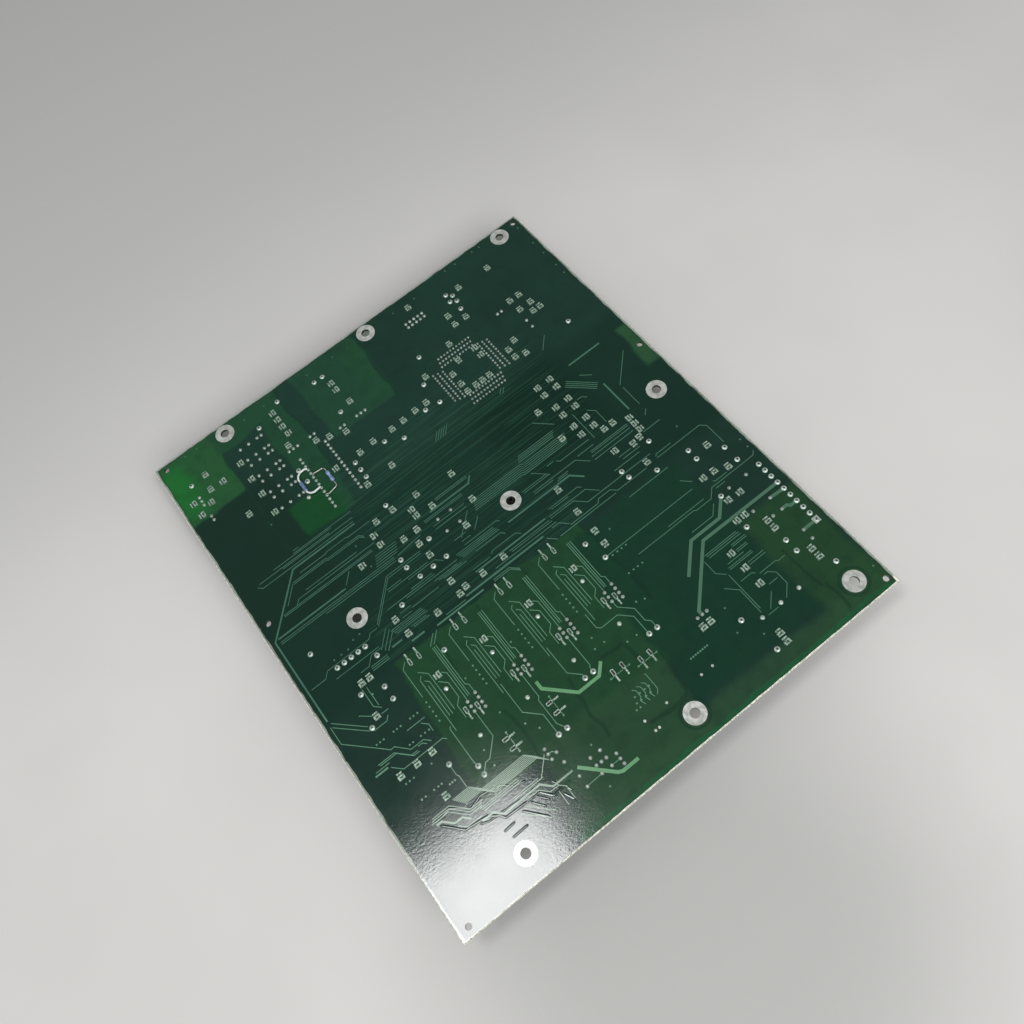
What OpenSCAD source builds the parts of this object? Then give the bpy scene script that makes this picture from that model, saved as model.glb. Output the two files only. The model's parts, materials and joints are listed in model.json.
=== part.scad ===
// Processor control board, lying solder side up on its own tall components.
// Millimetres. Board places are counted from the corner nearest the viewer, x to the right, y to the back.

/* [Board] */
// Width of the board from the corner
board_w = 230; // [229:1:240]
// Length of the board from the corner
board_l = 270; // [269:1:280]
// Thickness of the laminate
board_t = 1.6; // [1.2:0.1:2.4]
// Bevel left on every edge where the panel was scored and snapped
edge_bevel = 0.5; // [0.2:0.05:0.6]
// Height of the tall parts that the board lies on
stand_h = 25; // [22:0.5:32]

/* [Mounting holes] */
// Bore of the nine mounting holes
mount_hole_d = 4.5; // [3.2:0.1:5.5]
// Bare land round each mounting hole
mount_land_d = 10; // [8:0.5:11]
// First column of mounting holes from the left edge
mount_x = 39.5; // [38:0.5:41]
// First row of mounting holes from the front edge
mount_y = 11.6; // [10:0.2:13]
// Spacing of the columns of mounting holes
mount_pitch_x = 88; // [87:0.5:89]
// Spacing of the rows of mounting holes
mount_pitch_y = 126; // [125:0.5:127]
// Bore of the six tooling holes
tooling_hole_d = 2.8; // [2:0.1:3.4]

/* [Copper] */
// Thickness of tracks and lands
copper_t = 0.08; // [0.05:0.01:0.15]
// Width of a signal track
track_w = 0.36; // [0.25:0.02:0.45]
// Width of a supply track
bold_w = 0.8; // [0.6:0.05:1]
// Width of a power track
power_w = 1.5; // [1.2:0.1:1.8]
// Diameter of a via land
via_d = 0.9; // [0.7:0.05:1]

/* [Solder joints] */
// Land of a large joint
land_d = 2.6; // [2.2:0.1:2.8]
// Lead in a large joint
lead_d = 0.9; // [0.7:0.05:1.1]
// Height of the solder round a large lead
joint_h = 0.55; // [0.4:0.05:0.9]
// Land of a small joint
pin_land_d = 1.7; // [1.5:0.05:1.8]
// Pin in a small joint
pin_d = 0.6; // [0.45:0.05:0.7]
// Height of the solder on a small pin
pin_joint_h = 0.7; // [0.5:0.05:1]
// How far cut leads stand out of the solder
lead_out = 0.3; // [0.1:0.05:0.8]
// Land of a processor socket pin
socket_land_d = 1.35; // [1.1:0.05:1.4]
// Height of the solder dome on a socket pin
socket_joint_h = 0.6; // [0.4:0.05:0.8]
// Solid joint of a heat sink pin
dome_d = 2.1; // [1.8:0.1:2.6]

/* [Chip parts] */
// Length of a chip part over both ends
chip_l = 3.3; // [3:0.1:3.5]
// Width of a chip part at its framed end
chip_w = 3.1; // [2.7:0.1:3.2]
// Height of a chip part
chip_h = 0.65; // [0.5:0.05:1]
// Length of a clamp diode over its ends
diode_l = 6.3; // [6:0.1:6.6]
// Width of a clamp diode
diode_w = 1.7; // [1.4:0.1:1.9]

/* [Processor and memory] */
// Pin pitch in a row of the processor socket
socket_pitch = 1.9; // [1.8:0.02:1.95]
// Distance between rows of the processor socket
socket_row = 2.54; // [2.4:0.02:2.7]
// First row of socket pins from the middle
socket_first = 11.4; // [11.2:0.1:11.6]
// Side of the processor socket body
socket_side = 40; // [38:0.5:42]
// Height of the processor socket body
socket_h = 9; // [7:0.5:11]
// Side of the processor body
processor_side = 24; // [22:0.5:25]
// Pins in a row of the memory socket
memory_pins = 14; // [10:1:14]

/* [Output channels] */
// Distance between output channels
channel_pitch = 25.13; // [25:0.01:25.3]
// Heat sink pins of the first channel from the left edge
channel_x = 52.7; // [52.3:0.1:53]
// Front end of the heat sinks from the front edge
sink_y = 55.4; // [55:0.1:56]
// Length of a heat sink along the board
sink_l = 35; // [32:0.5:38]
// Depth of the heat sink fins
fin_depth = 9; // [6:0.5:10]
// Number of fins on a heat sink
fin_count = 7; // [4:1:8]

/* [Hidden] */
$fn = 24;
solder_z = stand_h + board_t;
pitch = 2.54;
channels = [for (k = [0:3]) channel_x + k * channel_pitch];
mount_pts = [for (i = [0:2]) for (j = [0:2]) [mount_x + i * mount_pitch_x, mount_y + j * mount_pitch_y]];
tooling_pts = [for (x = [5.5, 226.2]) for (y = [4.2, 162.4, 266]) [x, y]];

// Capacitor leads in pairs, with the can diameter
cans = [
    [[90.7, 257], [95.7, 257], 12.5], [[70.8, 147.4], [70.8, 142.5], 12.5], [[32, 103.6], [32, 96.8],
    12.5],
    [[207.3, 43.1], [207.3, 36.7], 12.5], [[218.3, 93.7], [218.3, 85.4], 15], [[205, 103.2],
    [205, 97.6], 12.5]
];
can_leads = [for (c = cans) for (k = [0, 1]) c[k]];
power_header_pts = [for (k = [0:9]) [223.7, 41.8 + 3.95 * k]];
signal_header_pts = [for (k = [0:4]) [19.9 + 3.8 * k, 124.1]];
outputs = [
    [[44.5, 50.7], [44.5, 46.4]], [[78.6, 39.8], [83, 39.8]],
    [[101.9, 51.3], [106.3, 51.3]], [[135, 48.8], [139.4, 48.8]]
];
output_pts = [for (o = outputs) for (p = o) p];
post_pts = [
    [11.4, 249.3], [54.8, 253.9], [69.9, 260.7], [91.9, 233], [140, 231.8], [172.3, 253.2],
    [174.9, 250.6],
    [171.6, 248.3], [174.7, 246.4], [173.3, 241], [132.6, 216.9], [57.9, 219.5], [58.2, 211.6], [82, 204],
    [82, 199], [82, 194], [99.5, 203.8], [108.1, 198.9], [125, 204.4], [133, 203.3], [209, 196.8],
    [80.8, 175], [87, 147.4], [13.5, 137.3], [73.3, 135], [80.8, 135], [88.2, 135], [59, 129.2],
    [37.1, 117.3], [21.7, 107.3], [17.7, 92.2], [62, 100], [140.1, 98.2], [142.9, 87.6], [175.3, 115.1],
    [176, 110.8], [194.8, 118.9], [187.9, 105.1], [200.6, 76.6], [198.9, 58.4], [216.3, 22.7],
    [168.3, 28.7], [171, 10.3], [35.2, 58.9]
];
lead_pts = concat(can_leads, power_header_pts, signal_header_pts, output_pts, post_pts);

relay_y = [for (k = [0:3]) 249.8 - 11.4 * k];
relay_pts = [for (y = relay_y) for (x = [41, 46, 51.1, 53.6]) for (d = [0, 7.62]) [x, y - d]];
memory_pts = [for (x = [61.8, 77]) for (k = [0:memory_pins - 1]) [x, 191.2 + pitch * k]];
debug_pts = [for (k = [0:4]) for (y = [250.5, 253.04]) [146.3 + pitch * k, y]];
regulator_pts = [for (k = [0:2]) [155.1 + pitch * k, 41]];
row_3 = [for (x = channels) for (k = [0:2]) [x + 4, 75.1 - pitch * k]];
row_4 = [for (x = channels) for (k = [0:3]) [x + 8.9, 76.3 - pitch * k]];
// Jumper headers: middle, number of posts, turned along y
jumpers = [
    [62.3, 231.8, 3, 0], [99.4, 225.4, 3, 0], [85.4, 20.5, 3, 0], [73.6, 231.8, 2, 0],
    [88.1, 225.4, 2, 0],
    [186.5, 225, 2, 0], [11.4, 238.4, 3, 1], [70.2, 36.3, 3, 1], [92.2, 16.7, 3, 1], [11.4, 226.8, 2, 1]
];
function jumper_pt(j, k) = [j[0] + (1 - j[3]) * pitch * (k - (j[2] - 1) / 2),
    j[1] + j[3] * pitch * (k - (j[2] - 1) / 2)];
jumper_pts = [for (j = jumpers) for (k = [0:j[2] - 1]) jumper_pt(j, k)];
crystal_pts = [[193.9, 211.7], [193.9, 206.8]];
oscillator_pts = [for (x = [95.8, 103.2]) for (y = [145, 152.6]) [x, y]];
// Film capacitors: first lead, step to the second
films = [
    [[73.4, 29.8], [0, 5]], [[74.8, 16.5], [0, 5.1]], [[82.8, 24.4], [5, 0]], [[82.7, 16.7], [5.1, 0]],
    [[211.1, 54.9], [5.1, 0]], [[216.3, 36.7], [0, 5.1]]
];
chokes = [[[206, 77.3], [216, 77.3]], [[206.1, 62.1], [216.1, 62.1]]];
small_pts = concat([for (f = films) for (k = [0, 1]) f[0] + f[1] * k], [for (c = chokes) for (p = c) p]);
pin_pts = concat(relay_pts, memory_pts, debug_pts, regulator_pts, row_3, row_4, jumper_pts, crystal_pts,
    oscillator_pts, small_pts);

socket_c = [155.6, 207.6];
function turned(p, k) = k == 0 ? p : turned([p[1], -p[0]], k - 1);
socket_pts = [for (s = [0:3]) for (r = [0:2]) for (i = [-5:5])
    socket_c + turned([i * socket_pitch + (r - 1) * 0.635, socket_first + r * socket_row], s)];
sink_pts = [for (x = channels) for (d = [4.9, 30.1]) [x, sink_y + d]];
lamp_pts = [[175.8, 24], [186.1, 24], [196.3, 24]];
dome_pts = concat(sink_pts, lamp_pts, [[54.2, 203.8]]);

// Chip parts by the side on which the thin end lies
chips_top = [
    [20, 250], [18.3, 241], [26.7, 216], [61.2, 235], [73.6, 227.8], [80, 225], [88, 221.6], [98.8, 235],
    [153, 260.8], [165.5, 241.7], [165.3, 235.2], [172.2, 235.2], [180, 252.5], [198.5, 252],
    [156, 227.4],
    [194.7, 227], [200.3, 227], [195.3, 219.3], [202.2, 219.3], [199.9, 214], [204.1, 214], [80.2, 190],
    [87, 207], [95.2, 207.7], [106.2, 207], [113.2, 207.2], [120.8, 207.7], [127.6, 207.6], [95, 190.6],
    [135.8, 220], [147, 211.6], [147, 204.4], [147, 198.7], [152.3, 198.8], [156.3, 198.8],
    [160.6, 198.9],
    [176.4, 203.9], [176.4, 198.4], [181.8, 206.7], [181.8, 196.7], [72.5, 170.9], [82, 170.9],
    [77.7, 155],
    [85.2, 155], [82, 148.3], [82.7, 140.6], [95.2, 169.9], [97.7, 160], [114.3, 167.5], [114.3, 150.2],
    [104.3, 141.4], [165.5, 165.7], [165.4, 147], [183.4, 137.7], [188.4, 137.6], [24.8, 111.3],
    [29, 111.3],
    [22.1, 95.2], [52.7, 125.4], [53.8, 116.4], [69.6, 115.7], [82.9, 123.8], [82.6, 116.3],
    [86.6, 117.5],
    [96.3, 117.4], [108.2, 117.8], [147.3, 127.2], [147.2, 112.8], [187, 111.3], [213, 99.8], [206.5, 88],
    [212.8, 85.5], [207.6, 55], [207.6, 50.6], [212.6, 33.5], [212.6, 29], [176.7, 14.8], [176.4, 10.6],
    [16.3, 67.8], [24.7, 67.7], [32.6, 67.7], [26.9, 49.4], [154.3, 36.6], [158.3, 36.6]
];
chips_bottom = [[147.3, 100.3], [146.8, 92.7], [188.6, 122.6], [192.9, 123.4], [154, 216.2]];
chips_left = concat([
    [37.2, 243], [37.2, 231.5], [37.2, 221], [37.2, 208.3], [8, 231.4], [7.5, 239.5], [15, 234.5],
    [25.3, 240.5],
    [64.5, 256.3], [64.5, 251.3], [64.5, 246.2], [97, 250.3], [97, 245.4], [72.8, 207.7], [164.3, 216.6],
    [164.3, 211.2], [89, 164.7], [89, 160.7], [179.6, 125.3], [200.5, 88.2], [201.5, 73], [208, 72.6],
    [197.6, 63.2], [202, 63.2], [185.3, 53.4], [185.3, 44.8], [185.3, 35.7]
], [for (x = [173.5, 181]) for (y = [176.4, 171, 162, 156.4, 148.2, 142.4]) [x, y]],
    [for (x = channels) [x + 0.4, 92.6]]);
chips_right = [[65, 241], [67.8, 165.7], [67.8, 160], [55.2, 156.8], [196, 134.3], [196, 130.4],
    [196, 126.5]];
function faced(list, a) = [for (p = list) [p[0], p[1], a]];
chips = concat(faced(chips_left, 0), faced(chips_bottom, 90), faced(chips_right, 180),
    faced(chips_top, 270));
// Slim chip parts at each channel: place from the channel line, and the way the framed end faces
slims = concat(
    [for (x = channels) for (p = [[1.4, 70.9], [6.5, 69.5]]) [x + p[0], p[1], 90]],
    [for (x = channels) for (d = [-5.8, -0.9]) [x + d, 106.6, 270]]
);
// Clamp diodes in pairs: middle, and the way the framed end faces
diodes = [
    [61.6, 52, 180], [61.9, 47.2, 180], [85.1, 52.4, 180], [85.1, 47.3, 180],
    [112.4, 44, 90], [117.4, 44, 90], [124.9, 40.9, 90], [129.8, 40.9, 90]
];
// Line that joins each pair of diodes, with a via at both ends
diode_lines = [
    [[61.8, 54.4], [61.8, 44.8]], [[85.1, 54.8], [85.1, 44.8]],
    [[110, 44], [119.9, 44]], [[122.4, 40.9], [132.2, 40.9]]
];

function row_x(y, xs) = [for (x = xs) [x, y]];
function col_y(x, ys) = [for (y = ys) [x, y]];
via_pts = concat(
    row_x(266.2, [17, 23.7, 181, 187.6, 198.8, 203.5]), row_x(263.5, [51.3, 63.2, 90.2, 106.2, 145.2,
        158.8]),
    col_y(226.2, [261.5, 247.9, 239, 228.4, 221.7, 92.1, 87.2, 11.5]),
    row_x(29.6, [for (k = [0:7]) 141.3 + 1.27 * k]),
    [for (x = [42.5, 67.7, 92.7, 117.5]) for (k = [0:4]) [x, 86.2 - 2.5 * k]],
    row_x(85, [15.3, 17.1, 19, 24.2, 26, 28, 33, 34.8, 36.8]), row_x(76, [26.6, 28.4, 32.5, 34.7, 36.8]),
    row_x(63.8, [16.3, 18.2, 20.3, 29.5]), row_x(54.5, [18, 20, 24.3, 26.5, 28.2]),
    row_x(52.2, [30.8, 32.1, 33.4]), row_x(86.3, [146, 148.7, 151.1, 153.6]),
    row_x(75.2, [146, 148.7, 151.1, 153.6]), row_x(32, [112.8, 115.5, 118.1, 120.4]), row_x(29.4,
        [111.8, 114.2, 116.8, 119.2]),
    row_x(27.3, [109.9, 111.9]), [for (d = diode_lines) for (p = d) p],
    [[32.3, 204], [58.2, 167.2], [58.3, 154], [153, 96.9], [209.4, 116.2], [143.7, 61.9], [140, 63.2],
    [64.8, 62.7], [70.4, 52.2], [74, 47], [50.2, 54.4], [50, 46.7], [115, 63], [113, 58.3], [118, 58.2],
    [125.6, 52], [130.6, 51.8], [61.9, 83.8], [86.9, 84], [166.7, 37], [171.5, 18.5], [82, 10.8],
    [86.4, 28.2], [20.7, 128], [24.6, 128], [28.3, 128], [32.5, 130.2], [36.2, 130.6], [26, 104.2],
    [163.4, 25.7]]
);
test_land_pts = [[109.6, 21.9], [121.4, 22], [140.1, 21.8], [146.1, 21.8], [110.6, 16.2], [112.6, 16.2]];

// Track runs: number of lines, step between lines, corners of the first line
left_runs = [
    [1, [0, 0], [[17.3, 163.5], [24.7, 171.2]]],
    [1, [0, 0], [[3.2, 104], [3.2, 95], [19, 79.5], [21, 79.5], [26, 74.1], [32.5, 74.1], [35, 71.6]]],
    [2, [-0.4, -2], [[4.4, 105.3], [16.5, 93.8]]],
    [1, [0, 0], [[15.8, 100.2], [20.5, 96.3]]],
    [2, [-12, -0.8], [[33, 184], [66, 184]]], [2, [13, -0.8], [[12, 181.5], [52, 181.5]]],
    [1, [0, 0], [[10.5, 180.6], [12.5, 178.7], [64, 178.7]]],
    [1, [0, 0], [[30.3, 173.6], [45, 173.6], [45.5, 174.1], [57, 174.1], [57.5, 173.6], [70, 173.6]]],
    [2, [0, -0.9], [[25, 171.6], [43.5, 171.6], [44.2, 170.9], [62, 170.9], [64, 168.9]]],
    [1, [0, 0], [[28, 164.6], [57, 164.6]]], [1, [0, 0], [[21, 161], [23, 163], [66, 163]]],
    [2, [0, -0.8], [[13.4, 160.8], [53, 160.8], [63, 160.8]]],
    [2, [0, -1], [[5.5, 150.8], [69, 150.8]]], [1, [0, 0], [[29.5, 148.6], [69, 148.6]]],
    [1, [0, 0], [[44, 153.9], [49, 159]]], [1, [0, 0], [[33.5, 185.3], [36.5, 185.3]]],
    [1, [0, 0], [[5.3, 123.2], [13, 123.2], [15.6, 125.8], [38.3, 125.8], [40.2, 127.7], [44, 127.7]]],
    [1, [0, 0], [[16.8, 120.1], [40, 120.1]]],
    [1, [0, 0], [[27, 115.4], [31.5, 115.4], [35.1, 119], [40.5, 119]]],
    [3, [0, -1], [[32, 114.6], [41, 114.6]]],
    [1, [0, 0], [[23.3, 109], [23.3, 99.5], [26, 96.8]]], [1, [0, 0], [[25.5, 108.5], [25.5, 98.5]]],
    [1, [0, 0], [[17.7, 90.6], [24.5, 90.6], [26.3, 92.4]]], [1, [0, 0], [[24.4, 94.6], [28, 94.6]]],
    [2, [0.6, -0.8], [[11, 77.5], [19.4, 77.5], [24.9, 72], [28, 72]]],
    [1, [0, 0], [[8.5, 75.4], [15.5, 75.4]]],
    [1, [0, 0], [[15, 73.4], [19, 69.4], [39.3, 69.4], [40.7, 68]]],
    [1, [0, 0], [[29, 73.2], [31.3, 73.2], [32.8, 71.7]]], [1, [0, 0], [[29, 81.6], [38.3, 81.6]]],
    [1, [0, 0], [[35.5, 80.5], [38, 78], [38, 74.5]]],
    [1, [0, 0], [[35.2, 58.9], [35.2, 53.5], [35.8, 52.5], [35.8, 47]]]
];
middle_runs = [
    [2, [0, -1.2], [[45, 129], [61, 145.2], [80, 145.2]]], [1, [0, 0], [[57.5, 139.6], [65.5, 139.6]]],
    [1, [0, 0], [[57.5, 138.4], [80, 138.4]]], [1, [0, 0], [[68, 137.2], [83, 137.2], [86, 134.2]]],
    [5, [0.6, 1.2], [[60, 152], [72, 152]]], [1, [0, 0], [[71, 150.2], [78, 151], [85, 151.6]]],
    [2, [0, -0.9], [[100.5, 162], [119, 162]]], [2, [0, -0.9], [[90, 156], [112, 156]]],
    [2, [0, -1.9], [[92, 151], [110, 151]]],
    [6, [0.4, 1], [[112, 144.5], [140, 144.5], [140.7, 143.8], [166, 143.8]]],
    [4, [0.6, 0.95], [[142, 150.6], [163, 150.6]]], [1, [0, 0], [[99, 138], [109, 147]]],
    [1, [0, 0], [[106, 137], [111, 141.5]]], [1, [0, 0], [[95.5, 138.8], [102, 138.8]]],
    [1, [0, 0], [[98, 136.1], [103, 136.1]]], [1, [0, 0], [[98, 133.9], [116.3, 133.9], [117.5, 132.7]]],
    [1, [0, 0], [[160, 163], [167.5, 155.5]]], [1, [0, 0], [[143, 142.6], [149.6, 136]]],
    [1, [0, 0], [[156, 139.6], [157.3, 138.3], [174.5, 138.3]]], [1, [0, 0], [[165, 134.8],
    [174.5, 134.8]]],
    [1, [0, 0], [[177.2, 137], [177.2, 154]]], [2, [0.5, -1], [[134, 137.4], [148.5, 137.4]]],
    [1, [0, 0], [[151, 140.3], [155, 140.3]]], [1, [0, 0], [[66.5, 132.7], [78.5, 132.7]]],
    [1, [0, 0], [[52.5, 131.6], [79, 131.6]]], [1, [0, 0], [[62.5, 130.5], [91, 130.5]]],
    [3, [2, -0.9], [[77, 128.8], [90, 128.8]]], [1, [0, 0], [[56, 126.5], [62, 126.5]]],
    [1, [0, 0], [[62, 125.2], [77, 125.2]]], [1, [0, 0], [[55.5, 124], [61, 124]]],
    [4, [0.5, -0.9], [[48, 122.4], [65, 122.4]]], [2, [1, -0.9], [[56.5, 118.2], [65, 118.2]]],
    [1, [0, 0], [[72, 112.4], [83, 112.4]]], [1, [0, 0], [[58, 105], [62.4, 109.4]]],
    [1, [0, 0], [[60, 105], [64.6, 109.6]]], [3, [1.2, -1.2], [[40, 118], [47, 125]]],
    [4, [0.6, -0.9], [[92, 132.4], [113, 132.4]]], [1, [0, 0], [[100, 128], [114, 128], [116, 126]]],
    [1, [0, 0], [[105, 122.3], [106, 123.3], [119.3, 123.3], [121.3, 121.3]]],
    [1, [0, 0], [[94, 121.6], [103.5, 121.6]]],
    [1, [0, 0], [[136, 119.3], [157, 119.3], [161.7, 114.6]]],
    [1, [0, 0], [[136, 118.2], [149.4, 118.2], [154, 113.6], [191, 113.6]]],
    [2, [0.7, -1], [[112, 118], [135, 118]]], [1, [0, 0], [[102, 115.4], [137, 115.4]]],
    [1, [0, 0], [[133.5, 114.2], [137.5, 114.2], [141, 110.7]]],
    [2, [0, -0.9], [[98, 111.8], [107, 111.8], [110.5, 108.3]]],
    [1, [0, 0], [[141, 109.9], [157, 109.9], [158.7, 111.6], [165.5, 111.6], [168, 109.1], [185, 109.1]]],
    [1, [0, 0], [[134, 108.6], [166.5, 108.6]]], [1, [0, 0], [[128.5, 112], [132.3, 108.2]]],
    [2, [1, 0.9], [[150, 130.9], [156, 130.9]]], [1, [0, 0], [[138, 132.8], [149, 132.8]]],
    [1, [0, 0], [[138, 133.9], [163, 133.9], [168, 128.9]]],
    [1, [0, 0], [[138, 122.6], [155, 122.6], [156.4, 121.2]]], [1, [0, 0], [[139, 121.6], [149, 121.6]]],
    [5, [1.5, 0], [[118.5, 186.5], [122.5, 191]]], [2, [1.3, -0.7], [[158, 186.6], [160.4, 189]]]
];
right_runs = [
    [4, [0.75, 0.75], [[184, 168], [195, 157]]], [1, [0, 0], [[193.3, 168.5], [198, 164.5]]],
    [1, [0, 0], [[184, 158.5], [186.5, 158.5], [188.5, 156.5]]], [1, [0, 0], [[204.3, 151], [218, 165]]],
    [1, [0, 0], [[204.5, 137], [204.5, 149]]], [1, [0, 0], [[183.8, 151], [186.8, 148], [186.8, 140]]],
    [1, [0, 0], [[189, 192], [195, 198.5]]], [2, [0, -0.9], [[171, 132.7], [193, 132.7]]],
    [1, [0, 0], [[170, 130.2], [193, 130.2]]], [1, [0, 0], [[170, 128.1], [193, 128.1]]],
    [1, [0, 0], [[196, 124.2], [206, 124.2]]], [1, [0, 0], [[179, 121.6], [186, 121.6]]],
    [1, [0, 0], [[180, 119.7], [190, 119.7]]], [1, [0, 0], [[173, 117.6], [188, 117.6]]],
    [1, [0, 0], [[169.7, 103], [192.5, 103]]], [1, [0, 0], [[142.9, 87.6], [193.5, 87.6]]],
    [1, [0, 0], [[173.3, 80.6], [194, 80.6]]],
    [1, [0, 0], [[155, 79.2], [187, 79.2], [187.7, 78.5], [196.5, 78.5], [200.4, 82.4], [225, 82.4],
    [226.8, 84.2]]],
    [1, [0, 0], [[201.5, 80.9], [206.8, 80.9]]], [1, [0, 0], [[203, 84.6], [203.8, 83.8], [210.5, 83.8]]],
    [1, [0, 0], [[192, 110.6], [193, 111.6], [201.5, 111.6]]],
    [1, [0, 0], [[192, 109.8], [217.5, 109.8], [219.9, 107.4], [219.9, 96]]],
    [1, [0, 0], [[192, 94.3], [196, 90.3]]], [1, [0, 0], [[202.5, 130.5], [205, 133]]],
    [1, [0, 0], [[179.3, 71.8], [191.5, 71.8], [195.7, 76]]],
    [1, [0, 0], [[172.3, 43.7], [177, 39], [177, 26]]], [1, [0, 0], [[178, 47], [178, 27.5]]],
    [2, [0.6, -0.9], [[176, 60], [194, 60]]], [1, [0, 0], [[177, 58], [195, 58]]],
    [2, [0, -0.9], [[188, 56.4], [196, 56.4]]], [2, [0, -0.9], [[188, 53.4], [194, 53.4]]],
    [1, [0, 0], [[181, 50.8], [190, 50.8]]], [2, [0, -0.9], [[180, 49.2], [193, 49.2]]],
    [2, [0, -1.3], [[188, 46], [196.7, 46]]], [1, [0, 0], [[180, 41.5], [186, 41.5], [187.2, 40.3]]],
    [1, [0, 0], [[188.5, 39.1], [197.5, 39.1], [198.2, 38.4], [202, 38.4]]],
    [1, [0, 0], [[189.5, 37.6], [191.5, 37.6], [194.1, 35], [194.1, 28.7], [189.4, 24]]],
    [1, [0, 0], [[188, 33], [192.8, 33]]], [1, [0, 0], [[174.2, 58], [174.2, 51], [177.5, 47.7]]],
    [1, [0, 0], [[178.5, 23.2], [184, 23.2]]], [1, [0, 0], [[181, 24.6], [186.5, 30.1]]]
];
// Bus under the glare, the four waved tracks and short links
front_runs = [
    [8, [0.5, -0.62], [[28, 46.4], [36.4, 46.4], [40.4, 42.4], [62, 42.4], [65.6, 38.8]]],
    [3, [-0.8, -0.9], [[17, 45.5], [25.5, 45.5], [32, 39], [38, 39]]],
    [1, [0, 0], [[24, 36.9], [26.8, 34.1], [34, 34.1]]],
    [3, [0.5, -0.9], [[35, 36.6], [54, 36.6]]], [2, [2, -0.9], [[46, 31.4], [61, 31.4]]],
    [2, [3, 1.2], [[47, 25], [56, 16]]], [1, [0, 0], [[62, 30.4], [68.8, 37.2]]],
    [1, [0, 0], [[64.6, 22], [64.6, 15.5]]], [1, [0, 0], [[68.2, 22], [68.2, 16]]],
    [1, [0, 0], [[52, 27.4], [58.4, 27.4], [61.8, 24], [66, 24], [68.5, 21.5]]],
    [3, [2.5, 0], [[113.6, 35], [114.9, 33.7], [114.9, 30.6], [113.7, 29.4], [114.5, 27]]],
    [1, [0, 0], [[122, 37], [122.5, 36.4], [122.5, 29], [120.8, 27]]],
    [1, [0, 0], [[74.8, 16.5], [82.7, 16.7]]], [1, [0, 0], [[87.8, 16.7], [92.2, 16.7]]],
    [1, [0, 0], [[70.2, 36.3], [72, 36.3], [73.4, 34.8]]]
];
// Tracks of one channel, counted from its heat sink pins
channel_runs = [
    [1, [0, 0], [[-5.7, 99.3], [-2.2, 95.8], [-2.2, 76]]], [1, [0, 0], [[-5.5, 97], [-6.9, 95.6],
    [-6.9, 68.3]]],
    [1, [0, 0], [[-5.5, 94.3], [-3.9, 92.7], [-3.9, 75]]], [1, [0, 0], [[-5.4, 91.5], [-5.4, 75.2]]],
    [1, [0, 0], [[2.4, 92.8], [4.3, 90.9], [4.3, 75.1]]],
    [1, [0, 0], [[-0.9, 90.2], [2.3, 87], [2.3, 79.2], [-0.4, 76.5], [-0.4, 70]]],
    [2, [0.9, 0], [[5.6, 104], [5.6, 77]]],
    [1, [0, 0], [[7.6, 104], [7.6, 82], [8.9, 80.7], [8.9, 76.3]]],
    [1, [0, 0], [[-10.2, 89], [-10.2, 104.2], [-7.6, 106.8]]]
];
// Links from the channels down to the output headers
output_runs = [
    [1, [0, 0], [[56.7, 69.9], [56.7, 56.7], [50, 50], [47.8, 50], [44.5, 46.4]]],
    [1, [0, 0], [[44.8, 71.3], [44, 70.5], [44, 53], [44.5, 50.7]]],
    [1, [0, 0], [[81.8, 69.9], [81.8, 57.5], [80.7, 56.4], [80.7, 44], [83, 39.8]]],
    [1, [0, 0], [[72.3, 72], [72.3, 56.7], [78.6, 50.4], [78.6, 39.8]]],
    [1, [0, 0], [[97.3, 72], [97.3, 57.8], [101.9, 53.2], [101.9, 51.3]]],
    [1, [0, 0], [[107, 69.9], [107, 54.4], [106.3, 53.5], [106.3, 51.3]]],
    [1, [0, 0], [[119.4, 73], [119.4, 65.3], [120.9, 63.8], [130, 63.8], [135, 58.8], [135, 48.8]]],
    [1, [0, 0], [[132.1, 69.9], [132.1, 66.7], [137.5, 61.3], [137.5, 54.5], [139.4, 52.6],
    [139.4, 48.8]]]
];
bold_runs = [
    [1, [0, 0], [[3.5, 107], [3.5, 152.3], [28.5, 177.3], [64, 177.3]]],
    [1, [0, 0], [[5.5, 152.8], [43, 152.8]]], [1, [0, 0], [[95, 158], [117.5, 158], [120.5, 161]]],
    [1, [0, 0], [[193, 176.3], [212, 176.3]]], [1, [0, 0], [[199, 157], [199, 138]]],
    [1, [0, 0], [[44.5, 115.9], [50, 115.9]]], [1, [0, 0], [[53, 112.5], [60, 112.5]]],
    [1, [0, 0], [[66, 111], [92, 111]]], [1, [0, 0], [[84, 113.6], [128, 113.6]]],
    [1, [0, 0], [[94, 119.9], [134, 119.9]]], [1, [0, 0], [[120, 129.6], [156, 129.6], [161, 124.6]]],
    [1, [0, 0], [[7.5, 74.1], [14, 74.1]]],
    [1, [0, 0], [[17, 42.4], [19.6, 42.4], [23.6, 38.4], [27.3, 38.4], [30, 35.7]]],
    [1, [0, 0], [[33, 32.1], [38.5, 32.1], [41.6, 29], [60, 29], [64, 25], [74, 25]]]
];
power_runs = [
    [1, [0, 0], [[84.7, 63.3], [84.7, 59.5], [96, 48.2], [107, 48.2], [111.5, 52.7]]],
    [1, [0, 0], [[164.5, 57.2], [176.5, 69.2], [193, 69.2], [200.6, 76.6]]],
    [1, [0, 0], [[157.6, 41], [157.6, 43], [180.4, 65.8], [223.7, 65.5]]],
    [1, [0, 0], [[216.3, 41.8], [223.7, 41.8]]], [1, [0, 0], [[216.1, 62.1], [223.7, 61.5]]],
    [1, [0, 0], [[216.2, 54.9], [219, 54.9], [220.2, 53.7], [223.7, 53.7]]],
    [1, [0, 0], [[76.3, 24.8], [88.1, 13], [90, 12.2], [98, 12.2]]]
];

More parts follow.
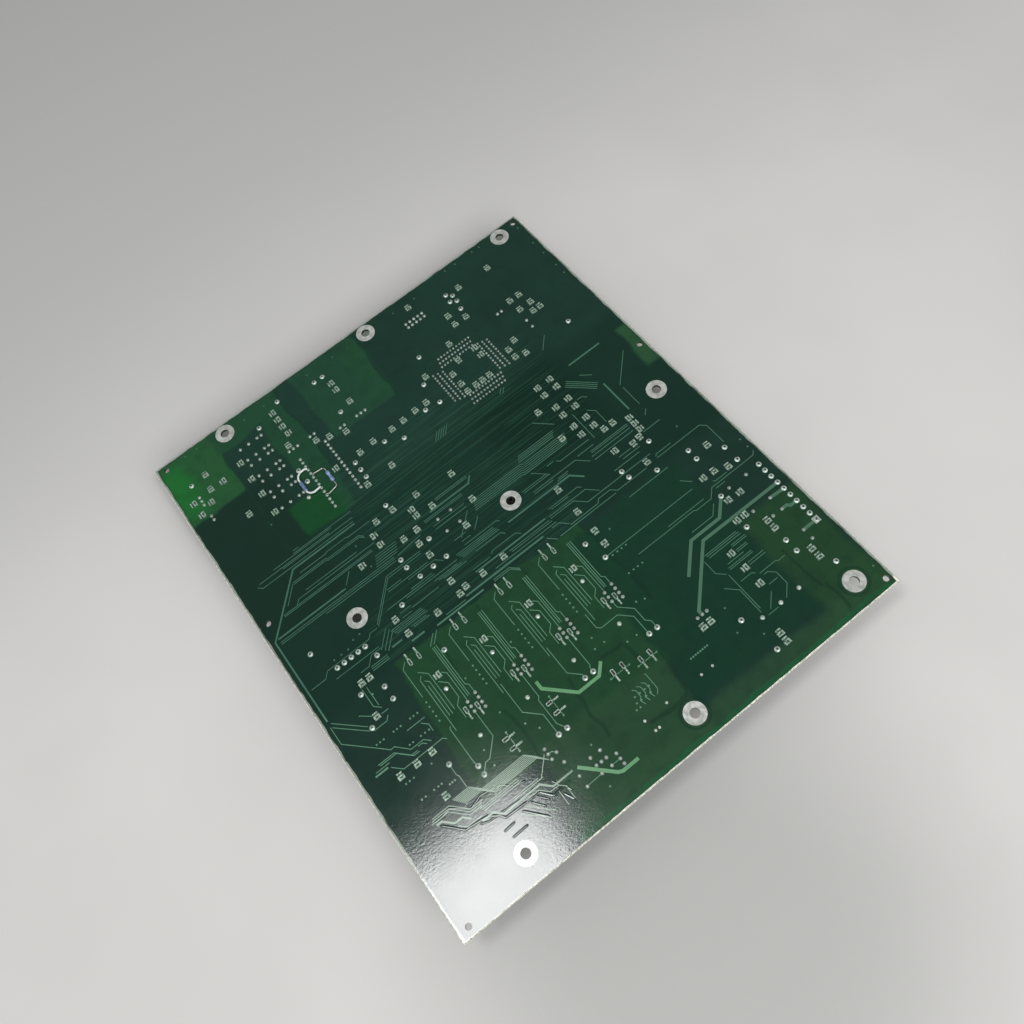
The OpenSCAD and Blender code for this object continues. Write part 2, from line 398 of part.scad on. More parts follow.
// Logic packages on the component side: middle, size along x, size along y, height
packages = [
    [177.3, 159, 29, 29, 4], [92, 197, 10.3, 18, 2.5], [116.6, 197, 10.3, 18, 2.5], [104, 171, 12, 20, 3],
    [88, 171, 12, 20, 3], [154, 121, 20, 12, 3], [154, 101, 20, 12, 3], [185.5, 44, 12, 20, 3],
    [22, 74, 18, 10.3, 2.5], [30, 160, 18, 10.3, 2.5]
];

module solder_side() {
    translate([-board_w / 2, -board_l / 2, solder_z])
        children();
}

module component_side() {
    translate([-board_w / 2, -board_l / 2, stand_h])
        mirror([0, 0, 1])
            children();
}

module at(list) {
    for (p = list)
        translate([p[0], p[1], 0])
            children();
}

// A mitred ribbon along the corners of a run
function left_of(v) = [-v[1], v[0]] / norm(v);
function normal(p, i) = left_of(p[i + 1] - p[i]);
function mitre(a, b) = (a + b) * 2 / ((a + b) * (a + b));
function side(p, i) = i == 0 ? normal(p, 0) :
    i == len(p) - 1 ? normal(p, i - 1) : mitre(normal(p, i - 1), normal(p, i));
function ribbon(p, w) = concat(
    [for (i = [0:len(p) - 1]) p[i] + side(p, i) * w / 2],
    [for (i = [len(p) - 1:-1:0]) p[i] - side(p, i) * w / 2]);

// Distance of a place from a run, and the lands that a run has to stop at
function held(t) = max(0, min(1, t));
function from_leg(c, a, b) = norm(c - a - (b - a) * held(((c - a) * (b - a)) / ((b - a) * (b - a))));
function from_run(c, p) = min([for (i = [0:len(p) - 2]) from_leg(c, p[i], p[i + 1])]);
function ringed(list, r) = [for (p = list) [p[0], p[1], r]];
// Square land of the first header pin
first_land = land_d + 0.5;
lands = concat(ringed(lead_pts, land_d / 2), ringed(pin_pts, pin_land_d / 2), ringed(socket_pts,
    socket_land_d / 2),
    ringed(dome_pts, dome_d / 2), ringed(via_pts, via_d / 2), ringed(test_land_pts, 0.6),
    ringed(mount_pts, mount_land_d / 2), ringed(tooling_pts, tooling_hole_d / 2));
pads = concat([for (c = chips) [c[0], c[1], c[2], chip_l, chip_w]], 
    [for (d = concat(slims, diodes)) [d[0], d[1], d[2], diode_l, diode_w]],
    [[power_header_pts[0][0], power_header_pts[0][1], 0, first_land, first_land]]);

module run(p, w) {
    difference() {
        linear_extrude(copper_t)
            polygon(ribbon(p, w));
        for (c = lands)
            if (from_run([c[0], c[1]], p) < c[2] + w / 2)
                translate([c[0], c[1], -1])
                    cylinder(r = c[2], h = 2);
        for (c = pads)
            if (from_run([c[0], c[1]], p) < norm([c[3], c[4]]) / 2 + w / 2)
                translate([c[0], c[1], 0])
                    rotate(c[2])
                        cube([c[3], c[4], 2], center = true);
    }
}

module runs(list, w, from = 0) {
    for (r = list)
        for (k = [0:r[0] - 1])
            run([for (q = r[2]) q + r[1] * k + [from, 0]], w);
}

// A round tube along level corners, closed at both ends
module wire(p, r) {
    n = 10;
    z = wire_z(r);
    last = len(p) - 1;
    points = [for (i = [0:last]) for (k = [0:n - 1])
        [p[i][0] + side(p, i)[0] * r * cos(36 * k), p[i][1] + side(p, i)[1] * r * cos(36 * k),
        z + r * sin(36 * k)]];
    walls = [for (i = [0:last - 1]) for (k = [0:n - 1])
        [i * n + k, i * n + (k + 1) % n, (i + 1) * n + (k + 1) % n, (i + 1) * n + k]];
    polyhedron(points, concat(walls, [[for (k = [n - 1:-1:0]) k]], [[for (k = [0:n - 1]) last * n + k]]));
}

module board() {
    color([0.1, 0.25, 0.18])
        translate([-board_w / 2, -board_l / 2, stand_h])
            difference() {
                intersection() {
                    beveled(board_w, board_l);
                    mirror([1, -1, 0])
                        beveled(board_l, board_w);
                }
                at(mount_pts)
                    translate([0, 0, -1])
                        cylinder(d = mount_hole_d, h = board_t + 2);
                at(tooling_pts)
                    translate([0, 0, -1])
                        cylinder(d = tooling_hole_d, h = board_t + 2);
                at(lead_pts)
                    translate([0, 0, -1])
                        cylinder(d = lead_d, h = board_t + 2);
                at(concat(pin_pts, socket_pts))
                    translate([0, 0, -1])
                        cylinder(d = pin_d, h = board_t + 2);
                at(dome_pts)
                    translate([0, 0, -1])
                        cylinder(d = 1.2, h = board_t + 2);
            }
}

// A slab of the given width with bevelled long edges
module beveled(w, l) {
    e = edge_bevel;
    t = board_t;
    translate([0, l, 0])
        rotate([90, 0, 0])
            linear_extrude(l)
                polygon([[e, 0], [w - e, 0], [w, e], [w, t - e], [w - e, t], [e, t], [0, t - e], [0, e]]);
}

module hole_lands() {
    color([0.75, 0.76, 0.74])
        solder_side()
            at(mount_pts)
                difference() {
                    cylinder(d = mount_land_d, h = copper_t);
                    translate([0, 0, -1])
                        cylinder(d = mount_hole_d, h = 2);
                }
}

module test_lands() {
    color([0.8, 0.82, 0.8])
        solder_side() {
            at(test_land_pts)
                cylinder(r = 0.6, h = copper_t);
            translate([power_header_pts[0][0], power_header_pts[0][1], 0])
                linear_extrude(copper_t)
                    difference() {
                        translate([-first_land / 2, -first_land / 2])
                            square([first_land, first_land]);
                        circle(r = land_d / 2);
                    }
        }
}

module via_lands() {
    color([0.3, 0.45, 0.38])
        solder_side()
            at(via_pts)
                cylinder(d = via_d, h = copper_t);
}

module signal_tracks() {
    color([0.27, 0.43, 0.37])
        solder_side() {
            runs(concat(left_runs, middle_runs, right_runs, front_runs, output_runs), track_w);
            for (x = channels)
                runs(channel_runs, track_w, x);
            runs([for (d = diode_lines) [1, [0, 0], d]], track_w);
        }
}

module supply_tracks() {
    color([0.3, 0.48, 0.38])
        solder_side()
            runs(bold_runs, bold_w);
}

module power_tracks() {
    color([0.37, 0.59, 0.43])
        solder_side()
            runs(power_runs, power_w);
}

// Solder drawn up round a lead
module collar(land, bore, h) {
    r = land / 2;
    b = bore / 2;
    rotate_extrude()
        polygon([[b, 0], [r, 0], [r, copper_t], [r - 0.15 * (r - b), 0.45 * h],
            [b + 0.35 * (r - b), 0.85 * h],
            [b + 0.15 * (r - b), h], [b, h]]);
}

// Solder closed over a pin
module dome(land, h) {
    r = land / 2;
    rotate_extrude()
        polygon([[0, 0], [r, 0], [r, copper_t], [0.85 * r, 0.55 * h], [0.5 * r, 0.9 * h],
            [0.2 * r, h], [0, h]]);
}

module lead_joints() {
    color([0.75, 0.8, 0.77])
        solder_side()
            at(lead_pts)
                collar(land_d, lead_d, joint_h);
}

module pin_joints() {
    color([0.78, 0.82, 0.8])
        solder_side()
            at(pin_pts)
                collar(pin_land_d, pin_d, pin_joint_h);
}

module socket_joints() {
    color([0.78, 0.82, 0.8])
        solder_side()
            at(socket_pts)
                dome(socket_land_d, socket_joint_h);
}

module sink_joints() {
    color([0.78, 0.82, 0.8])
        solder_side()
            at(dome_pts)
                dome(dome_d, 0.7);
}

// A lead through the board, standing out above the solder
module lead(d, up) {
    translate([0, 0, -board_t - up])
        cylinder(d = d, h = board_t + up);
}

module component_leads() {
    color([0.45, 0.46, 0.45])
        component_side()
            at(lead_pts)
                lead(lead_d, joint_h + lead_out);
}

module component_pins() {
    color([0.7, 0.72, 0.7])
        component_side()
            at(pin_pts)
                lead(pin_d, pin_joint_h + lead_out);
}

module socket_pins() {
    color([0.7, 0.72, 0.7])
        component_side()
            at(socket_pts)
                lead(pin_d, 0);
}

module sink_pins() {
    color([0.7, 0.72, 0.7])
        component_side()
            at(dome_pts)
                lead(1.2, 0);
}

// Thin end, waist and framed end of a chip part, thin end to the left
chip_end = 0.75;
chip_frame = 1.95;
chip_wall = 0.6;

module chip_place(list) {
    solder_side()
        for (c = list)
            translate([c[0], c[1], 0])
                rotate(c[2])
                    children();
}

module block(x, y, w, l, h) {
    translate([x - w / 2, y - l / 2, 0])
        cube([w, l, h]);
}

// Slim part: a framed end to the right and a narrow tail to the left
slim_frame = 3.2;
slim_wall = 0.4;
slim_tail = 0.8;

module slim_body() {
    block(diode_l / 2 - slim_frame / 2, 0, slim_frame - 2 * slim_wall, diode_w - 2 * slim_wall,
        chip_h - 0.15);
}

module slim_metal() {
    e = diode_l / 2;
    f = e - slim_frame;
    w = diode_w / 2;
    linear_extrude(chip_h)
        difference() {
            polygon([[e, slim_wall - w], [e, w - slim_wall], [e - slim_wall, w], [f + slim_wall, w],
                [f, w - slim_wall], [f, slim_wall - w], [f + slim_wall, -w], [e - slim_wall, -w]]);
            translate([f + slim_wall, slim_wall - w])
                square([slim_frame - 2 * slim_wall, diode_w - 2 * slim_wall]);
        }
    block(-slim_frame / 2, 0, diode_l - slim_frame, slim_tail, chip_h - 0.2);
}

module chip_bodies() {
    waist = chip_l - chip_end - chip_frame;
    color([0.1, 0.13, 0.12]) {
        chip_place(chips) {
            block((chip_end - chip_frame) / 2, 0, waist, chip_w - 0.9, chip_h);
            block(chip_l / 2 - chip_frame / 2, 0, chip_frame - 2 * chip_wall,
                chip_w - 2 * chip_wall - 0.4, chip_h - 0.2);
        }
        chip_place(slims)
            slim_body();
    }
}

module chip_ends() {
    color([0.75, 0.79, 0.76]) {
        chip_place(chips) {
            block(chip_end / 2 - chip_l / 2, 0, chip_end, chip_w - 0.5, chip_h - 0.1);
            linear_extrude(chip_h)
                difference() {
                    translate([chip_l / 2 - chip_frame, -chip_w / 2])
                        square([chip_frame, chip_w]);
                    translate([chip_l / 2 - chip_frame + chip_wall, -chip_w / 2 + chip_wall + 0.2])
                        square([chip_frame - 2 * chip_wall, chip_w - 2 * chip_wall - 0.4]);
                }
        }
        chip_place(slims)
            slim_metal();
    }
}

module diode_bodies() {
    color([0.13, 0.14, 0.14])
        chip_place(diodes)
            slim_body();
}

module diode_ends() {
    color([0.75, 0.79, 0.76])
        chip_place(diodes)
            slim_metal();
}

// Bodies of the two added resistors, lying along y
module resistor(l, r, waist) {
    rotate([-90, 0, 0])
        rotate_extrude()
            polygon([[0, 0], [r * 0.7, 0], [r, 0.4], [r, 1.5], [waist, 2], [waist, l - 2], [r, l - 1.5],
                [r, l - 0.4], [r * 0.7, l], [0, l]]);
}

// Wires lie on the tips of the memory pins
pin_top = pin_joint_h + lead_out;
function wire_z(r) = pin_top + r * cos(18);
sleeve_r = 0.5;
bare_r = 0.3;

module sleeved_resistor() {
    color([0.25, 0.4, 0.55])
        solder_side()
            translate([55.2, 206.5, wire_z(sleeve_r)])
                resistor(6, 0.95, 0.9);
}

module sleeved_leads() {
    color([0.72, 0.74, 0.72])
        solder_side() {
            wire([memory_pts[10], [60.3, 217.4], [57.8, 217.2], [56, 216], [55.2, 214.4],
                [55.2, 212.5]], sleeve_r);
            wire([[55.2, 206.5], [55.2, 205.8], [56.2, 204.3], [58, 203.6], memory_pts[5]], sleeve_r);
        }
}

module bare_resistor() {
    color([0.35, 0.52, 0.62])
        solder_side()
            translate([68.5, 202.6, wire_z(bare_r)])
                resistor(6.2, 1, 0.8);
}

module bare_leads() {
    color([0.8, 0.82, 0.8])
        solder_side() {
            wire([memory_pts[8], [62.8, 212.4], [67.6, 211.9], [68.5, 210.8], [68.5, 208.8]], bare_r);
            wire([[68.5, 202.6], [68.5, 199.6], [67.6, 199], [63.2, 198.1], memory_pts[3]], bare_r);
        }
}

// Comb outline of a finned plate
module heat_sinks() {
    step = sink_l / fin_count;
    fins = [for (k = [0:fin_count - 1]) for (c = [[-1.5, 0.2], [-1.5 - fin_depth, 0.2],
        [-1.5 - fin_depth, 0.45], [-1.5, 0.45]])
        [c[0], (k + c[1]) * step]];
    color([0.16, 0.17, 0.18])
        component_side()
            for (x = channels)
                translate([x, sink_y, 0])
                    linear_extrude(stand_h)
                        polygon(concat([[1.5, sink_l], [1.5, 0], [-1.5, 0]], fins, [[-1.5, sink_l]]));
}

module amplifier_bodies() {
    color([0.09, 0.09, 0.1])
        component_side()
            for (x = channels)
                translate([x + 2.8, 67.5, 4.5])
                    cube([3.3, 10.2, 9]);
}

module amplifier_tabs() {
    color([0.7, 0.71, 0.7])
        component_side()
            for (x = channels)
                translate([x + 1.5, 67.5, 4.5])
                    cube([1.3, 10.2, 15.2]);
}

module amplifier_leads() {
    color([0.7, 0.72, 0.7])
        component_side() {
            at(row_3)
                block(0, 0, 0.5, 0.6, 4.5);
            at(row_4)
                translate([0, 0.3, 0])
                    rotate([90, 0, 0])
                        linear_extrude(0.6)
                            polygon([[-0.25, 0], [0.25, 0], [0.25, 2.4], [-2.8, 5.6], [-2.8, 5],
                                [-0.25, 2.2]]);
        }
}

module relays() {
    color([0.85, 0.84, 0.78])
        component_side()
            for (y = relay_y)
                translate([39.8, y - 8.5, 0]) {
                    cube([15.2, 9.4, 0.8]);
                    translate([0.3, 0.3, 0.8])
                        cube([14.6, 8.8, 9.2]);
                }
}

module processor_socket() {
    well = processor_side + 1.4;
    s = socket_side;
    color([0.16, 0.15, 0.14])
        component_side()
            translate([socket_c[0] - s / 2, socket_c[1] - s / 2, 0])
                difference() {
                    linear_extrude(socket_h)
                        polygon([[3, 0], [s, 0], [s, s], [0, s], [0, 3]]);
                    translate([s / 2 - well / 2, s / 2 - well / 2, 2])
                        cube([well, well, socket_h]);
                    for (k = [0:3])
                        translate([s / 2, s / 2, socket_h - 2.5])
                            rotate(90 * k)
                                translate([-6, well / 2 - 1, 0])
                                    cube([12, 4, 5]);
                }
}

module processor() {
    s = processor_side;
    color([0.12, 0.12, 0.13])
        component_side()
            translate([socket_c[0], socket_c[1], 2])
                linear_extrude(3.6)
                    polygon([[2 - s / 2, -s / 2], [s / 2, -s / 2], [s / 2, s / 2], [-s / 2, s / 2],
                        [-s / 2, 2 - s / 2]]);
}

module memory_socket() {
    l = (memory_pins - 1) * pitch + 3;
    color([0.1, 0.1, 0.11])
        component_side()
            translate([60, 189.7, 0])
                difference() {
                    cube([18.8, l, 4.2]);
                    for (k = [0:2])
                        translate([4, 2 + k * (l - 2) / 3, -1])
                            cube([10.8, (l - 2) / 3 - 2, 7]);
                }
}

module memory_chip() {
    l = (memory_pins - 1) * pitch + 2.6;
    color([0.14, 0.13, 0.13])
        component_side()
            translate([62.6, 189.9, 4.2])
                difference() {
                    cube([13.6, l, 4.2]);
                    translate([6.8, l, 2.2])
                        cylinder(r = 1.4, h = 4);
                }
}

module debug_header() {
    color([0.12, 0.12, 0.13])
        component_side()
            translate([141.3, 247.4, 0])
                difference() {
                    cube([20.2, 8.8, 8.8]);
                    translate([1.2, 1.2, 2.4])
                        cube([17.8, 6.4, 8]);
                    translate([7.9, -1, 2.4])
                        cube([4.4, 3, 8]);
                }
}

module power_header() {
    color([0.85, 0.83, 0.76])
        component_side()
            translate([219.4, 39.8, 0]) {
                cube([7.4, 39.55, 3.2]);
                translate([0, 0, 3.2])
                    cube([1.4, 39.55, 8]);
            }
}

module signal_header() {
    color([0.85, 0.83, 0.76])
        component_side()
            translate([18, 121.2, 0]) {
                cube([19, 6.2, 3]);
                translate([0, 0, 3])
                    cube([19, 1.2, 7]);
            }
}

module output_headers() {
    color([0.85, 0.83, 0.76])
        component_side()
            for (o = outputs) {
                m = (o[0] + o[1]) / 2;
                d = o[1] - o[0];
                translate([m[0], m[1], 0])
                    block(0, 0, abs(d[0]) > 1 ? 8.8 : 6, abs(d[0]) > 1 ? 6 : 8.8, 3);
            }
}

module jumper_bases() {
    color([0.1, 0.1, 0.11])
        component_side()
            for (j = jumpers)
                translate([j[0], j[1], 0])
                    block(0, 0, j[3] == 0 ? j[2] * pitch : 2.5, j[3] == 0 ? 2.5 : j[2] * pitch, 2.5);
}

module header_posts() {
    color([0.75, 0.7, 0.5])
        component_side() {
            at(jumper_pts)
                translate([0, 0, 2.5])
                    block(0, 0, 0.64, 0.64, 6);
            at(debug_pts)
                translate([0, 0, 2.4])
                    block(0, 0, 0.64, 0.64, 5.6);
            at(power_header_pts)
                translate([0, 0, 3.2])
                    block(0, 0, 1.1, 1.1, 9);
            at(concat(signal_header_pts, output_pts))
                translate([0, 0, 3])
                    block(0, 0, 1.1, 1.1, 8);
        }
}

module regulator_body() {
    color([0.09, 0.09, 0.1])
        component_side()
            translate([152.5, 39.4, 4.5])
                cube([10.2, 3.2, 9]);
}

module regulator_tab() {
    color([0.7, 0.71, 0.7])
        component_side()
            translate([152.5, 42.6, 4.5])
                difference() {
                    cube([10.2, 1.3, 15.2]);
                    translate([5.1, 3, 12.2])
                        rotate([90, 0, 0])
                            cylinder(d = 3.7, h = 5);
                }
}

module regulator_leads() {
    color([0.7, 0.72, 0.7])
        component_side()
            at(regulator_pts)
                block(0, 0, 0.7, 0.5, 4.5);
}

function can_mid(c) = (c[0] + c[1]) / 2;

module capacitor_sleeves() {
    color([0.13, 0.16, 0.25])
        component_side()
            for (c = cans) {
                r = c[2] / 2;
                translate([can_mid(c)[0], can_mid(c)[1], 0])
                    rotate_extrude()
                        polygon([[0, 0], [r - 0.5, 0], [r, 0.6], [r, 1.6], [r - 0.6, 2.2],
                            [r - 0.6, 2.8], [r, 3.4],
                            [r, stand_h - 0.5], [r - 0.5, stand_h], [r - 1.2, stand_h],
                            [r - 1.2, stand_h - 0.6],
                            [0, stand_h - 0.6]]);
            }
}

module capacitor_tops() {
    color([0.78, 0.79, 0.8])
        component_side()
            for (c = cans)
                translate([can_mid(c)[0], can_mid(c)[1], stand_h - 0.6])
                    difference() {
                        cylinder(r = c[2] / 2 - 1.2, h = 0.4);
                        for (a = [0, 90])
                            rotate(a)
                                translate([-c[2] / 4, -0.2, 0.2])
                                    cube([c[2] / 2, 0.4, 1]);
                    }
}

module film_capacitors() {
    color([0.62, 0.2, 0.14])
        component_side()
            for (f = films) {
                m = f[0] + f[1] / 2;
                translate([m[0], m[1], 0])
                    block(0, 0, f[1][0] > 0 ? 7.4 : 3, f[1][0] > 0 ? 3 : 7.4, 7);
            }
}

module choke_bodies() {
    color([0.2, 0.35, 0.25])
        component_side()
            for (c = chokes)
                translate([c[0][0] + 1.6, c[0][1], 2])
                    rotate([0, 90, 0])
                        cylinder(r = 1.8, h = 6.8);
}

module choke_leads() {
    color([0.7, 0.72, 0.7])
        component_side()
            for (c = chokes) {
                for (p = c)
                    translate([p[0], p[1], 0])
                        block(0, 0, 0.6, 0.6, 2.3);
                translate([c[0][0] + 0.3, c[0][1] - 0.3, 1.7])
                    cube([1.3, 0.6, 0.6]);
                translate([c[1][0] - 1.6, c[1][1] - 0.3, 1.7])
                    cube([1.3, 0.6, 0.6]);
            }
}

module crystal() {
    color([0.75, 0.76, 0.77])
        component_side()
            translate([193.9, 209.25, 0]) {
                pill(4.7, 11, 0.6);
                translate([0, 0, 0.6])
                    pill(3.9, 10.2, 12.6);
            }
}

// An upright block with round ends
module pill(w, l, h) {
    linear_extrude(h) {
        translate([-w / 2, w / 2 - l / 2])
            square([w, l - w]);
        for (s = [-1, 1])
            translate([0, s * (l / 2 - w / 2)])
                circle(d = w);
    }
}

module oscillator() {
    color([0.75, 0.76, 0.77])
        component_side()
            translate([99.5, 148.8, 0]) {
                block(0, 0, 13, 13, 0.7);
                translate([0, 0, 0.7])
                    block(0, 0, 12, 12, 4.8);
            }
}

module logic_packages() {
    color([0.11, 0.11, 0.12])
        component_side()
            for (q = packages)
                translate([q[0], q[1], 0.2])
                    block(0, 0, q[2] - 2, q[3] - 2, q[4]);
}

// Rows of leads along the two long sides of a package, four sides on a square one
module logic_leads() {
    color([0.72, 0.74, 0.72])
        component_side()
            for (q = packages)
                translate([q[0], q[1], 0]) {
                    n_y = floor((q[3] - 4) / 1.27);
                    n_x = floor((q[2] - 4) / 1.27);
                    if (q[3] >= q[2])
                        for (k = [0:n_y])
                            for (s = [-1, 1])
                                block(s * (q[2] / 2 - 0.5), (k - n_y / 2) * 1.27, 1, 0.45, q[4] / 2);
                    if (q[2] >= q[3])
                        for (k = [0:n_x])
                            for (s = [-1, 1])
                                block((k - n_x / 2) * 1.27, s * (q[3] / 2 - 0.5), 0.45, 1, q[4] / 2);
                }
}

// Turned test posts, and the three short posts by the front edge
module test_posts() {
    color([0.75, 0.72, 0.6])
        component_side()
            at(concat(post_pts, lamp_pts))
                rotate_extrude()
                    polygon([[0, 0], [1.2, 0], [1.2, 0.8], [0.7, 0.8], [0.7, 3], [1.1, 3],
                        [1.1, 3.6], [0.7, 3.6],
                        [0.7, 5.4], [1.1, 5.4], [1.1, 6.2], [0, 6.2]]);
}

board();
hole_lands();
test_lands();
via_lands();
signal_tracks();
supply_tracks();
power_tracks();
lead_joints();
pin_joints();
socket_joints();
sink_joints();
component_leads();
component_pins();
socket_pins();
sink_pins();
chip_bodies();
chip_ends();
diode_bodies();
diode_ends();
sleeved_resistor();
sleeved_leads();
bare_resistor();
bare_leads();
heat_sinks();
amplifier_bodies();
amplifier_tabs();
amplifier_leads();
relays();
processor_socket();
processor();
memory_socket();
memory_chip();
debug_header();
power_header();
signal_header();
output_headers();
jumper_bases();
header_posts();
regulator_body();
regulator_tab();
regulator_leads();
capacitor_sleeves();
capacitor_tops();
film_capacitors();
choke_bodies();
choke_leads();
crystal();
oscillator();
logic_packages();
logic_leads();
test_posts();
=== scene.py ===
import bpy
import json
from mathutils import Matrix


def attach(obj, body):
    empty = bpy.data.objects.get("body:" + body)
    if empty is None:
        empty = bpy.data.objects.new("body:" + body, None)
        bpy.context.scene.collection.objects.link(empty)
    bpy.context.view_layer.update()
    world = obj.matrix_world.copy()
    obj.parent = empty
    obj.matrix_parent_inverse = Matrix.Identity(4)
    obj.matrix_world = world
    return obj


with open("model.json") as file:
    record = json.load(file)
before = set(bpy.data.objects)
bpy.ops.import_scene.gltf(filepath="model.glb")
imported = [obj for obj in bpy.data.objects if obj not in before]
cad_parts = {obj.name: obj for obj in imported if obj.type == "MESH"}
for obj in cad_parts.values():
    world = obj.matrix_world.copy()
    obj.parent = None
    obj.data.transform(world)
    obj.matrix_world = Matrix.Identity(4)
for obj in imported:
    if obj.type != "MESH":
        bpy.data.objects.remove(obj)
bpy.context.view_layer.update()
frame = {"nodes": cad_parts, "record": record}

import json
import math
import bpy
from mathutils import Matrix, Vector

nodes = frame["nodes"]
scene = bpy.context.scene
scene.view_settings.view_transform = "Standard"

# The board in millimetres. Places on it are counted from its near left corner
BOARD_W = 230.0
BOARD_L = 270.0
BOARD_TOP = 26.6
# The frame is in metres, from the middle of the board
HALF_W = BOARD_W / 2000
HALF_L = BOARD_L / 2000


def lin(r, g, b):
    """Screen colour from 0 to 255 as linear light."""
    def one(v):
        v /= 255.0
        return v / 12.92 if v <= 0.04045 else ((v + 0.055) / 1.055) ** 2.4
    return (one(r), one(g), one(b), 1.0)


class Tree:
    """Short calls for building a material's nodes."""

    def __init__(self, name):
        self.mat = bpy.data.materials.new(name)
        self.mat.use_nodes = True
        self.nt = self.mat.node_tree
        self.bsdf = self.nt.nodes["Principled BSDF"]
        self.at = self.nt.nodes.new("ShaderNodeTexCoord").outputs["Object"]

    def put(self, value, socket):
        """Link an output to a socket, or set a constant on it."""
        if hasattr(value, "links"):
            self.nt.links.new(value, socket)
        else:
            socket.default_value = value

    def set(self, name, value):
        self.put(value, self.bsdf.inputs[name])

    def math(self, op, a, b=0.0, c=None):
        n = self.nt.nodes.new("ShaderNodeMath")
        n.operation = op
        self.put(a, n.inputs[0])
        self.put(b, n.inputs[1])
        if c is not None:
            self.put(c, n.inputs[2])
        return n.outputs[0]

    def span(self, v, a, b, lo=0.0, hi=1.0, smooth=True):
        """Lo to hi as v goes from a to b."""
        n = self.nt.nodes.new("ShaderNodeMapRange")
        n.interpolation_type = "SMOOTHSTEP" if smooth else "LINEAR"
        self.put(v, n.inputs["Value"])
        n.inputs["From Min"].default_value = a
        n.inputs["From Max"].default_value = b
        n.inputs["To Min"].default_value = lo
        n.inputs["To Max"].default_value = hi
        return n.outputs["Result"]

    def between(self, v, a, b, c, d):
        """Rises from 0 to 1 over a to b, and falls back over c to d."""
        return self.math("MULTIPLY", self.span(v, a, b), self.span(v, c, d, 1.0, 0.0))

    def away(self, x, y, cx, cy):
        """Distance from a place."""
        dx = self.math("POWER", self.math("SUBTRACT", x, cx), 2.0)
        dy = self.math("POWER", self.math("SUBTRACT", y, cy), 2.0)
        return self.math("SQRT", self.math("ADD", dx, dy))

    def noise(self, scale, detail=3.0, rough=0.55, at=None):
        n = self.nt.nodes.new("ShaderNodeTexNoise")
        n.inputs["Scale"].default_value = scale
        n.inputs["Detail"].default_value = detail
        n.inputs["Roughness"].default_value = rough
        self.nt.links.new(at or self.at, n.inputs["Vector"])
        return n.outputs["Fac"]

    def scaled(self, x, y, z):
        n = self.nt.nodes.new("ShaderNodeMapping")
        n.inputs["Scale"].default_value = (x, y, z)
        self.nt.links.new(self.at, n.inputs["Vector"])
        return n.outputs["Vector"]

    def mix(self, fac, a, b, blend="MIX"):
        n = self.nt.nodes.new("ShaderNodeMix")
        n.data_type = "RGBA"
        n.blend_type = blend
        self.put(fac, n.inputs[0])
        self.put(a, n.inputs[6])
        self.put(b, n.inputs[7])
        return n.outputs[2]

    def xyz(self, v=None):
        n = self.nt.nodes.new("ShaderNodeSeparateXYZ")
        self.nt.links.new(v or self.at, n.inputs[0])
        return n.outputs

    def bump(self, height, strength, distance):
        n = self.nt.nodes.new("ShaderNodeBump")
        n.inputs["Strength"].default_value = strength
        n.inputs["Distance"].default_value = distance
        self.nt.links.new(height, n.inputs["Height"])
        self.nt.links.new(n.outputs["Normal"], self.bsdf.inputs["Normal"])


# How far the roughness of a plain finish wanders to either side
GLOSS_SPREAD = 0.12
# Depths of the bump of a finish and of the mask, in metres
GRAIN = 0.0001
MASK_GRAIN = 0.00006


def plain(name, dark, light, rough, metal=0.0, spec=0.4, scale=900.0, bump=0.15):
    """A finish with two tones broken up by noise, and uneven gloss."""
    t = Tree(name)
    n = t.noise(scale, 4.0)
    t.set("Base Color", t.mix(t.span(n, 0.35, 0.65), lin(*dark), lin(*light)))
    gloss = t.noise(scale * 0.37, 2.0)
    t.set("Roughness", t.span(gloss, 0.3, 0.7, rough - GLOSS_SPREAD, rough + GLOSS_SPREAD))
    t.set("Metallic", metal)
    t.set("Specular IOR Level", spec)
    t.bump(t.noise(scale * 2.5, 2.0), bump, GRAIN)
    return t.mat


# Zones of the board where inner copper is missing or different: box, colour, weight, soft edge, in mm
ZONES = [
    ((-2, 106, 232, 186), (16, 43, 34), 0.8, 12),
    ((-2, 150, 46, 229), (17, 40, 31), 0.8, 6),
    ((140, 138, 190, 190), (8, 35, 26), 0.8, 20),
    ((-2, 229, 32, 272), (32, 75, 43), 0.95, 2.5),
    ((-4, 233, 13, 264), (24, 92, 39), 0.9, 9),
    ((30, 255, 72, 272), (28, 65, 44), 0.85, 2.5),
    ((56, 186, 71.5, 257), (26, 63, 42), 0.85, 2),
    ((43, 186, 66, 206), (17, 63, 32), 0.95, 3),
    ((82, 222, 119.5, 269), (28, 63, 45), 0.85, 2),
    ((108, 226, 119.5, 264), (27, 65, 42), 0.8, 6),
    ((39.5, 36, 144, 109), (28, 64, 40), 0.95, 2),
    ((138, 44, 150, 66), (29, 66, 43), 0.8, 5),
    ((68, 3, 131, 40), (36, 68, 45), 0.9, 4),
    ((133, 13, 196, 104), (17, 52, 37), 0.8, 3),
    ((197, 3, 228, 62), (32, 65, 40), 0.85, 5),
    ((60, -2, 229, 10), (40, 71, 48), 0.75, 5),
    ((222, 151, 232, 176), (40, 76, 49), 0.85, 3),
    ((212, 4, 229, 20), (36, 70, 42), 0.6, 5),
    ((60, 0.4, 230, 2.8), (26, 84, 52), 0.7, 1),
]
